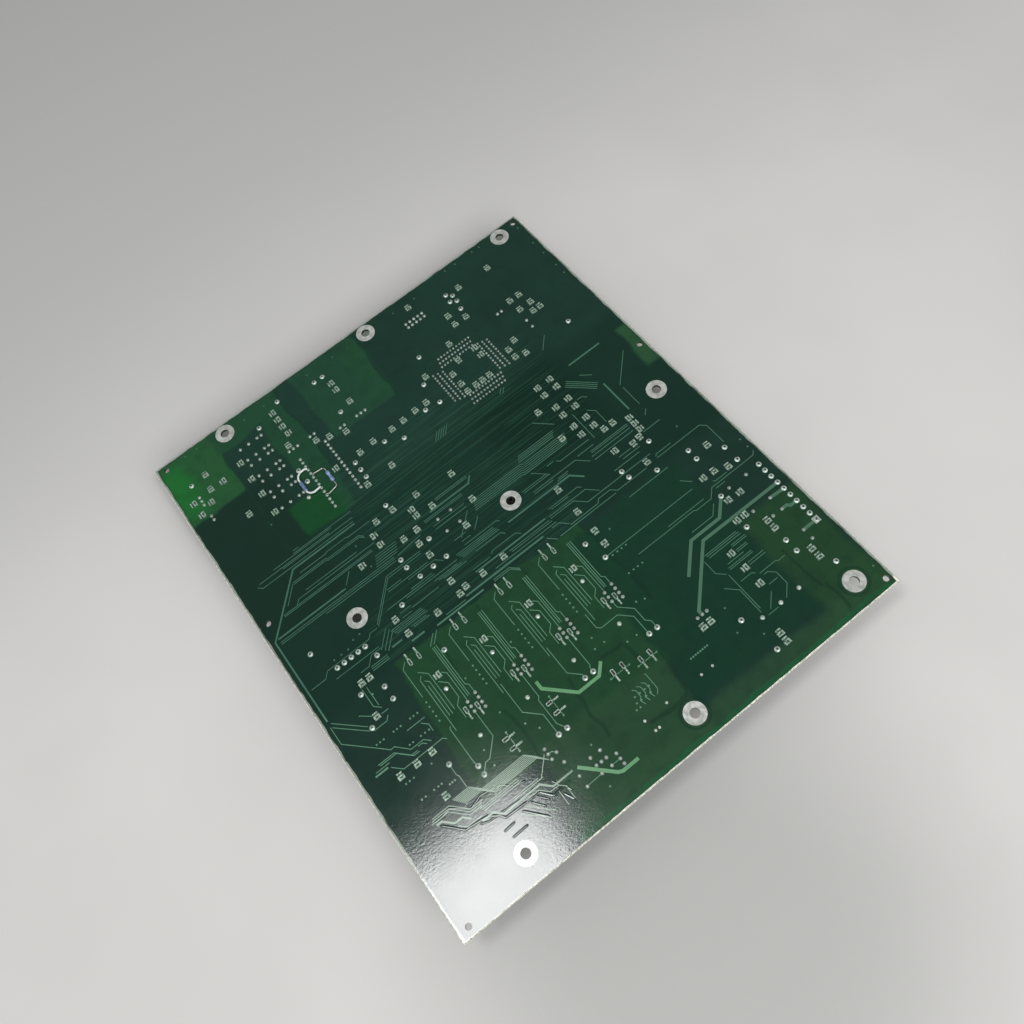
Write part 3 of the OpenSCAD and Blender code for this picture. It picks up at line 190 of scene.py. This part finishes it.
# Faint seams between the inner planes, as boxes in mm
SEAMS = [
    (66.5, 36, 68, 62), (94, 27, 95.8, 56), (110, 18.2, 131, 19.8), (131, 20, 132.6, 41),
    (124.2, 44, 125.8, 53), (113, 52.8, 125, 54.2), (203, 18, 204.4, 42), (144.5, 60, 146, 106),
    (196, 137, 197.5, 158), (71.4, 206, 72.6, 268), (119.3, 220, 120.5, 269), (31.6, 186, 32.8, 255),
    (39, 62, 40.4, 108), (60, 84, 61.2, 108), (85, 84, 86.2, 108), (110, 84, 111.2, 108),
    (205, 4, 206.4, 18),
]
SEAM_SOFT = 1.0
SEAM_WEIGHT = 0.55
# Dark rings round two mounting holes at the front edge: centres, then where a ring starts and ends
RINGS = [(215.5, 11.6), (127.5, 11.6)]
RING_SPAN = (5.4, 6.0, 6.5, 7.2)
# How far the edges of zones and seams wander, in mm
WANDER = 2.5
# Fine buried tracks: box and soft edge of the places that are full of them
BUSY = [(66, 136, 186, 206, 14), (40, 109, 150, 136, 8)]
STREAK_WEIGHT = 0.33
# The scored margin, in mm from the edge
LIP = 0.5
WORN_LEAST = 0.9
WORN_MOST = 1.6
# Width of the dark line of painted shade just inside the rubbed band
SCORE_SHADE_WIDTH = 0.6
# Upright faces farther from the edge than this are hole walls
WALL_FROM = 2.0


def board_material():
    """Green mask over inner copper, with a rubbed, scored margin and bare edges."""
    t = Tree("board_mask")
    x, y, _ = t.xyz()
    mm_x = t.math("MULTIPLY_ADD", x, 1000.0, HALF_W * 1000)
    mm_y = t.math("MULTIPLY_ADD", y, 1000.0, HALF_L * 1000)
    # Zone edges wander a little
    zone_x = t.math("ADD", mm_x, t.span(t.noise(45.0, 2.0), 0.2, 0.8, -WANDER, WANDER, False))
    zone_y = t.math("ADD", mm_y, t.span(t.noise(38.0, 2.0), 0.2, 0.8, -WANDER, WANDER, False))

    def inside(x0, y0, x1, y1, soft):
        h = soft / 2
        across = t.between(zone_x, x0 - h, x0 + h, x1 - h, x1 + h)
        along = t.between(zone_y, y0 - h, y0 + h, y1 - h, y1 + h)
        return t.math("MULTIPLY", across, along)

    cloud = t.noise(22.0, 3.0)
    tone = t.mix(t.span(cloud, 0.3, 0.7), lin(20, 46, 38), lin(24, 51, 42))
    for box, colour, weight, soft in ZONES:
        tone = t.mix(t.math("MULTIPLY", inside(*box, soft), weight), tone, lin(*colour))
    # Fine buried tracks show as faint level streaks in the middle of the board
    streak = t.noise(1.0, 2.0, 0.6, t.scaled(18.0, 900.0, 1.0))
    busy = t.math("MAXIMUM", inside(*BUSY[0]), inside(*BUSY[1]))
    shown = t.math("MULTIPLY", t.span(streak, 0.5, 0.6), busy)
    tone = t.mix(t.math("MULTIPLY", shown, STREAK_WEIGHT), tone, lin(42, 78, 62))
    for box in SEAMS:
        tone = t.mix(t.math("MULTIPLY", inside(*box, SEAM_SOFT), SEAM_WEIGHT), tone, lin(18, 46, 34))
    for cx, cy in RINGS:
        ring = t.between(t.away(mm_x, mm_y, cx, cy), *RING_SPAN)
        tone = t.mix(t.math("MULTIPLY", ring, SEAM_WEIGHT), tone, lin(18, 48, 34))
    # Mottle from the weave below the mask
    weave = t.noise(140.0, 4.0, 0.6)
    tone = t.mix(t.span(weave, 0.42, 0.68, 0.0, 0.22), tone, lin(16, 36, 30))
    # The mask is a little darker towards the front
    deep = t.mix(t.span(mm_y, 60.0, 220.0), (0.82, 0.82, 0.82, 1.0), (1.0, 1.0, 1.0, 1.0))
    tone = t.mix(1.0, tone, deep, "MULTIPLY")
    # The scored margin: a pale lip, a rubbed band, then a dark line of painted shade along the score;
    # half as wide in front
    rub = t.noise(120.0, 4.0, 0.6)
    side = t.math("MINIMUM", mm_x, t.math("SUBTRACT", BOARD_W, mm_x))
    end = t.math("MINIMUM", t.math("MULTIPLY", mm_y, 2.0), t.math("SUBTRACT", BOARD_L, mm_y))
    out = t.math("MINIMUM", side, end)
    reach = t.span(rub, 0.3, 0.7, WORN_LEAST, WORN_MOST, False)
    # Painted shade: a dark line just inside the rubbed band
    painted_score_shade = t.math("LESS_THAN", out, t.math("ADD", reach, SCORE_SHADE_WIDTH))
    tone = t.mix(t.math("MULTIPLY", painted_score_shade, 0.6), tone, lin(34, 42, 36))
    band = t.mix(t.span(mm_y, 2.0, 4.0), lin(206, 207, 196), lin(122, 134, 124))
    patchy = t.span(t.noise(60.0, 2.0), 0.35, 0.5, 0.6, 1.0)
    tone = t.mix(t.math("MULTIPLY", t.math("LESS_THAN", out, reach), patchy), tone, band)
    tone = t.mix(t.math("LESS_THAN", out, LIP), tone, lin(176, 181, 173))
    # Snapped edges are bare laminate; hole walls are dark, partly their own tone and partly painted shade
    # inside the holes
    normal = t.nt.nodes.new("ShaderNodeNewGeometry").outputs["Normal"]
    upright = t.span(t.math("ABSOLUTE", t.xyz(normal)[2]), 0.80, 0.95, 1.0, 0.0)
    fibre = t.mix(t.span(t.noise(1400.0, 3.0), 0.35, 0.65), lin(140, 144, 128), lin(214, 214, 202))
    bare = t.mix(t.math("GREATER_THAN", out, WALL_FROM), fibre, lin(62, 68, 58))
    t.set("Base Color", t.mix(upright, tone, bare))
    t.set("Roughness", t.span(t.noise(60.0, 3.0), 0.3, 0.7, 0.105, 0.135))
    t.set("Specular IOR Level", 0.5)
    t.bump(t.noise(1.0, 3.0, 0.6, t.scaled(700.0, 1100.0, 700.0)), 0.35, MASK_GRAIN)
    return t.mat


def copper_material(name, far, near, line, right, corner):
    """Copper under the mask: paler towards the front, duller on the right, with a painted highlight of
    the window's glare in the near left corner.
    """
    t = Tree(name)
    x, y, _ = t.xyz()
    n = t.noise(160.0, 3.0)
    tone = t.mix(t.span(y, -0.035, -0.015), lin(*near), lin(*far))
    tone = t.mix(t.span(n, 0.3, 0.7, 0.0, 0.5), tone, lin(*line))
    tone = t.mix(t.span(x, 0.02, 0.05), tone, lin(*right))
    # Painted highlight: the window's glare on the near left corner, painted into the copper's colour
    painted_glare_mask = t.math("MULTIPLY", t.span(x, -0.05, -0.035, 1.0, 0.0), t.span(y, -0.09, -0.075, 1.0, 0.0))
    t.set("Base Color", t.mix(painted_glare_mask, tone, lin(*corner)))
    t.set("Roughness", t.span(t.noise(700.0, 2.0), 0.3, 0.7, 0.15, 0.22))
    t.set("Specular IOR Level", 0.5)
    t.bump(t.noise(1500.0, 3.0), 0.1, MASK_GRAIN)
    return t.mat


# Painted shade darkens solder up to this height over the board, in metres
BASE_SHADE_RISE = 0.0003


def solder_material(name, dark, light):
    """Solder with dull patches and painted shade darkening it near the board."""
    t = Tree(name)
    z = t.xyz()[2]
    n = t.noise(700.0, 3.0)
    tone = t.mix(t.span(n, 0.35, 0.68), lin(*dark), lin(*light))
    painted_base_shade = t.span(z, BOARD_TOP / 1000, BOARD_TOP / 1000 + BASE_SHADE_RISE, 0.4, 0.0)
    t.set("Base Color", t.mix(painted_base_shade, tone, lin(88, 112, 98)))
    t.set("Roughness", t.span(t.noise(1500.0, 2.0), 0.3, 0.7, 0.28, 0.46))
    t.set("Metallic", 0.35)
    t.set("Specular IOR Level", 0.5)
    t.bump(t.noise(3200.0, 2.0), 0.25, GRAIN)
    return t.mat


def land_material():
    """Dull tinned land with rubbed patches."""
    t = Tree("bare_land_tinned")
    n = t.noise(500.0, 4.0)
    rub = t.noise(90.0, 2.0)
    tone = t.mix(t.span(n, 0.3, 0.7), lin(158, 162, 157), lin(190, 192, 187))
    t.set("Base Color", t.mix(t.span(rub, 0.45, 0.75, 0.0, 0.5), tone, lin(136, 140, 134)))
    t.set("Roughness", t.span(n, 0.3, 0.7, 0.28, 0.4))
    t.set("Metallic", 0.3)
    t.bump(t.noise(1800.0, 3.0), 0.2, GRAIN)
    return t.mat


FINISH = {
    "laminate": board_material(),
    "bare_land": land_material(),
    # The last colour of each copper finish is the painted glare highlight of the near left corner
    "masked_copper": copper_material(
        "masked_track", (52, 87, 73), (78, 119, 94), (66, 104, 87), (62, 98, 80), (118, 140, 122)),
    "masked_wide_copper": copper_material(
        "masked_power_track", (70, 114, 82), (82, 128, 90), (94, 138, 102), (64, 96, 78), (96, 132, 104)),
    "solder": solder_material("solder_bright", (142, 160, 149), (194, 208, 200)),
    "cut_lead": plain("lead_cut_end", (40, 48, 42), (88, 96, 88), 0.42, 0.5, 0.5, 1800.0),
    "tinned_lead": plain("lead_tinned", (132, 138, 132), (174, 178, 172), 0.36, 0.5, 0.5, 1500.0),
    "chip_body": plain("chip_dark", (28, 48, 40), (58, 82, 70), 0.5, 0.0, 0.3, 1600.0),
    "black_package": plain("package_black", (26, 26, 28), (42, 42, 44), 0.62, 0.0, 0.35, 1300.0, 0.3),
    "resistor_blue": plain("resistor_lacquer", (72, 90, 120), (98, 117, 149), 0.35, 0.0, 0.5, 900.0),
    "resistor_pale_blue": plain(
        "resistor_pale_lacquer", (90, 111, 146), (118, 139, 174), 0.32, 0.0, 0.5, 900.0),
    "lead_sleeve": plain("sleeve_grey", (166, 176, 172), (204, 210, 206), 0.55, 0.0, 0.4, 700.0),
    "black_anodised": plain("anodised_black", (30, 31, 33), (46, 47, 50), 0.45, 0.6, 0.5, 1200.0),
    "tab_metal": plain("tab_tinned", (160, 162, 160), (200, 202, 198), 0.4, 0.7, 0.5, 1000.0),
    "relay_plastic": plain("relay_cream", (206, 202, 184), (226, 222, 206), 0.5, 0.0, 0.4, 800.0),
    "socket_plastic": plain("socket_black", (30, 29, 28), (46, 44, 42), 0.55, 0.0, 0.4, 900.0),
    "header_nylon": plain("nylon_natural", (208, 204, 186), (228, 224, 208), 0.48, 0.0, 0.4, 800.0),
    "gilt_post": plain("post_plated", (176, 158, 96), (212, 194, 132), 0.32, 0.9, 0.5, 1400.0),
    "can_sleeve": plain("sleeve_dark_blue", (28, 34, 58), (40, 48, 76), 0.35, 0.0, 0.5, 600.0),
    "can_top": plain("can_aluminium", (184, 186, 188), (214, 216, 218), 0.35, 0.9, 0.5, 900.0),
    "film_case": plain("film_red", (132, 44, 32), (164, 62, 44), 0.38, 0.0, 0.5, 900.0),
    "choke_case": plain("choke_green", (44, 82, 58), (66, 108, 78), 0.4, 0.0, 0.5, 900.0),
    "can_metal": plain("can_nickel", (176, 178, 178), (212, 213, 212), 0.3, 0.9, 0.5, 700.0),
}

# Small joints are duller than the large ones, and the ends of the small parts are greener
DULL = plain("chip_end_dull", (76, 101, 85), (154, 176, 160), 0.4, 0.2, 0.4, 1500.0, 0.25)
OWN_FINISH = {
    "chip_ends": DULL,
    "diode_ends": DULL,
    "pin_joints": solder_material("solder_dull", (126, 143, 133), (170, 184, 176)),
    "socket_joints": solder_material("solder_dark", (100, 116, 107), (140, 153, 146)),
}

for part in frame["record"]["subparts"]:
    obj = nodes[part["node"]]
    obj.data.materials.clear()
    obj.data.materials.append(OWN_FINISH.get(part["node"], FINISH[part["material_slot"]]))

# Soft edges on the small parts and blocks: node and width in metres
SOFT_EDGES = {
    "chip_ends": 0.00018,
    "chip_bodies": 0.0001,
    "diode_ends": 0.00025,
    "diode_bodies": 0.0002,
    "relays": 0.0004,
    "processor_socket": 0.0003,
    "processor": 0.0004,
    "memory_socket": 0.0002,
    "memory_chip": 0.0003,
    "debug_header": 0.0003,
    "power_header": 0.0003,
    "signal_header": 0.0003,
    "output_headers": 0.0003,
    "jumper_bases": 0.0002,
    "amplifier_bodies": 0.0003,
    "logic_packages": 0.0003,
    "film_capacitors": 0.0005,
    "oscillator": 0.0004,
    "regulator_body": 0.0003,
}
for name, width in SOFT_EDGES.items():
    m = nodes[name].modifiers.new("soft_edges", "BEVEL")
    m.width = width
    m.segments = 2
    m.limit_method = "ANGLE"

# Mask swollen over the wide copper of the near corner: width and line, in mm
RIDGES = [
    (1.3, [(16.7, 43.4), (25.3, 44.5), (32.0, 39.0), (38.4, 40.8), (47.1, 39.0), (51.7, 34.8),
           (56.7, 33.9)]),
    (1.5, [(18.2, 41.6), (25.4, 33.8), (35.7, 32.5), (40.0, 29.5), (41.4, 27.4), (58.3, 26.6),
           (62.0, 22.1), (71.0, 22.6)]),
    (1.2, [(31.5, 31.9), (35.1, 30.4), (45.2, 29.7), (54.6, 28.9), (57.7, 29.4)]),
    (1.5, [(48.1, 25.4), (55.9, 16.5)]),
    (1.3, [(53.0, 25.9), (57.3, 20.5)]),
    (1.2, [(55.7, 26.7), (60.1, 21.8)]),
    (1.4, [(37.4, 23.4), (43.5, 23.8)]),
    (1.4, [(38.8, 19.5), (47.1, 19.7)]),
    (1.4, [(65.6, 20.5), (68.1, 15.5)]),
    (1.2, [(68.1, 21.9), (69.4, 18.8)]),
    (1.1, [(64.6, 27.6), (66.8, 22.9)]),
]
# Height over the board, depth of the foot below its face, step along a line, faces across
RIDGE_RISE = 0.07
RIDGE_SINK = 0.02
RIDGE_STEP = 0.4
RIDGE_FACES = 8


def ridge_mesh():
    """Low rounded ridges along the lines, with rounded ends."""
    verts, faces = [], []
    for width, line in RIDGES:
        pts = [Vector(p) for p in line]
        path = []
        for a, b in zip(pts, pts[1:]):
            n = max(2, int((b - a).length / RIDGE_STEP))
            path += [a.lerp(b, k / n) for k in range(n)]
        path.append(pts[-1])
        start = len(verts)
        last = len(path) - 1
        for i, p in enumerate(path):
            d = (path[min(i + 1, last)] - path[max(i - 1, 0)]).normalized()
            side = Vector((-d.y, d.x))
            near = min(i, last - i) * RIDGE_STEP / (width / 2)
            swell = math.sqrt(max(0.02, 1 - (1 - min(near, 1.0)) ** 2))
            for k in range(RIDGE_FACES + 1):
                u = -1 + 2 * k / RIDGE_FACES
                q = p + side * (u * width / 2 * swell)
                rise = (RIDGE_RISE + RIDGE_SINK) * math.cos(u * math.pi / 2) * swell
                z = BOARD_TOP - RIDGE_SINK + rise
                verts.append((q.x / 1000 - HALF_W, q.y / 1000 - HALF_L, z / 1000))
        for i in range(last):
            for k in range(RIDGE_FACES):
                a = start + i * (RIDGE_FACES + 1) + k
                faces.append((a, a + 1, a + RIDGE_FACES + 2, a + RIDGE_FACES + 1))
    mesh = bpy.data.meshes.new("mask_ridges")
    mesh.from_pydata(verts, [], faces)
    mesh.update()
    for f in mesh.polygons:
        f.use_smooth = True
    return mesh


ridges = bpy.data.objects.new("mask_ridges", ridge_mesh())
scene.collection.objects.link(ridges)
ridges.data.materials.append(FINISH["laminate"])
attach(ridges, "root")

TABLE_SIZE = 6.0
# Middle of the soft shadow of whoever stands in front of the table
STAND = (-0.04, -0.19)


def table_material():
    """Pale table with painted light: a painted falloff darker at the back, and two painted soft shadows.
    """
    t = Tree("table_pale")
    n = t.noise(6.0, 3.0)
    tone = t.mix(t.span(n, 0.3, 0.7), lin(184, 183, 181), lin(190, 189, 187))
    x, y, _ = t.xyz()
    # Painted falloff of the light: darker towards the back
    tone = t.mix(t.span(y, 0.05, 0.32), tone, lin(170, 170, 168))
    tone = t.mix(t.span(t.away(x, y, *STAND), 0.04, 0.16, 0.8, 0.0), tone, lin(152, 152, 150))
    # Shade close behind the board, seen through the holes of its back edge
    along = t.between(y, 0.06, 0.12, 0.149, 0.158)
    across = t.between(x, -0.125, -0.112, 0.112, 0.125)
    shade = t.math("MULTIPLY", t.math("MULTIPLY", along, across), 0.8)
    t.set("Base Color", t.mix(shade, tone, lin(96, 98, 92)))
    t.set("Roughness", t.span(t.noise(300.0, 2.0), 0.3, 0.7, 0.6, 0.75))
    t.set("Specular IOR Level", 0.2)
    return t.mat


bpy.ops.mesh.primitive_plane_add(size=TABLE_SIZE, location=(0, 0, 0))
floor = bpy.context.object
floor.name = "table"
floor.data.materials.append(table_material())

# Even pale surroundings; mirror views see a dimmer room than the one that lights the table
ROOM = 0.55
ROOM_IN_MIRROR = 0.1
world = bpy.data.worlds.new("surroundings")
world.use_nodes = True
bg = world.node_tree.nodes["Background"]
bg.inputs["Color"].default_value = (1.0, 1.0, 1.0, 1.0)
path = world.node_tree.nodes.new("ShaderNodeLightPath")
dim = world.node_tree.nodes.new("ShaderNodeMapRange")
dim.inputs["To Min"].default_value = ROOM
dim.inputs["To Max"].default_value = ROOM_IN_MIRROR
world.node_tree.links.new(path.outputs["Is Glossy Ray"], dim.inputs["Value"])
world.node_tree.links.new(dim.outputs["Result"], bg.inputs["Strength"])
scene.world = world

# Name, place, target, width and depth in metres, power in watts. The image of the window is the glare on
# the near left corner; the front light gets in under the near edges
LIGHTS = [
    ("window", (-0.224, -0.022, 1.0), (-0.224, -0.022, 0.0), 0.25, 0.2, 3.45),
    ("front", (0.0, -0.95, 1.0), (0.0, 0.05, 0.0), 0.9, 0.6, 13.0),
]
for name, place, target, width, depth, power in LIGHTS:
    data = bpy.data.lights.new(name, "AREA")
    data.shape = "RECTANGLE"
    data.size = width
    data.size_y = depth
    data.energy = power
    obj = bpy.data.objects.new(name, data)
    scene.collection.objects.link(obj)
    obj.location = place
    obj.rotation_euler = (Vector(target) - Vector(place)).to_track_quat("-Z", "Y").to_euler()

# Camera as in the photograph
CAMERA_AT = (-0.04553, -0.17253, BOARD_TOP / 1000 + 0.38464)
CAMERA_LOOK = (0.12964, 0.40114, -0.90680)
CAMERA_UP = (0.60321, 0.69392, 0.39321)
cam_data = bpy.data.cameras.new("photo_camera")
cam_data.sensor_fit = "HORIZONTAL"
cam_data.sensor_width = 36.0
cam_data.lens = 32.37
cam_data.clip_start = 0.01
cam = bpy.data.objects.new("photo_camera", cam_data)
scene.collection.objects.link(cam)
look = Vector(CAMERA_LOOK).normalized()
right = look.cross(Vector(CAMERA_UP)).normalized()
up = right.cross(look)
turn = Matrix((right, up, -look)).transposed()
cam.matrix_world = Matrix.Translation(CAMERA_AT) @ turn.to_4x4()
scene.camera = cam
